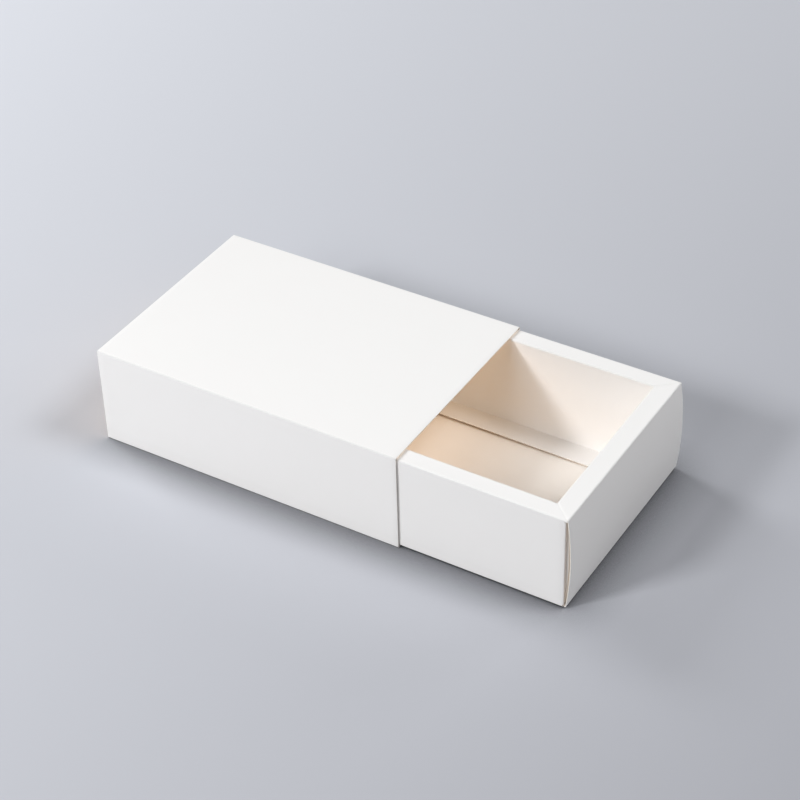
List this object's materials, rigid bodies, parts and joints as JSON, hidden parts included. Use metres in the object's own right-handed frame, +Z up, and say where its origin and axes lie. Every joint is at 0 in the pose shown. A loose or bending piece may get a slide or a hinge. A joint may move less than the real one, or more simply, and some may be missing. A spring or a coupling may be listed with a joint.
{
  "type": "drawer gift box",
  "caption": "White folding-carton gift box: an open-ended paperboard sleeve with a hollow-walled tray that slides out of it like a drawer.",
  "frame": {"origin": "centre of the sleeve's underside, on the surface that the box stands on", "axes": "+X along the sleeve, the way the tray draws out; +Y across the box to its back long side; +Z up"},
  "size_m": [0.3054, 0.139, 0.0633],
  "materials": {
    "sleeve_board": "matte",
    "tray_board": "matte"
  },
  "bodies": {
    "sleeve": {"sleeve_bottom_panel": "sleeve_board", "sleeve_front_panel": "sleeve_board", "sleeve_top_panel": "sleeve_board", "sleeve_back_panel": "sleeve_board", "sleeve_glue_flap": "sleeve_board"},
    "tray": {"tray_base_panel": "tray_board", "tray_front_outer_wall": "tray_board", "tray_front_rim": "tray_board", "tray_front_inner_wall": "tray_board", "tray_front_floor_flap": "tray_board", "tray_back_outer_wall": "tray_board", "tray_back_rim": "tray_board", "tray_back_inner_wall": "tray_board", "tray_back_floor_flap": "tray_board", "tray_left_outer_wall": "tray_board", "tray_left_rim": "tray_board", "tray_left_inner_wall": "tray_board", "tray_left_floor_flap": "tray_board", "tray_right_outer_wall": "tray_board", "tray_right_rim": "tray_board", "tray_right_inner_wall": "tray_board", "tray_right_floor_flap": "tray_board", "tray_front_left_ear": "tray_board", "tray_front_right_ear": "tray_board", "tray_back_left_ear": "tray_board", "tray_back_right_ear": "tray_board"}
  },
  "joints": [
    {"name": "tray_slide", "type": "slide", "parent": "sleeve", "child": "tray", "axis": [1, 0, 0], "range_m": [-0.1037, 0.1003]}
  ]
}
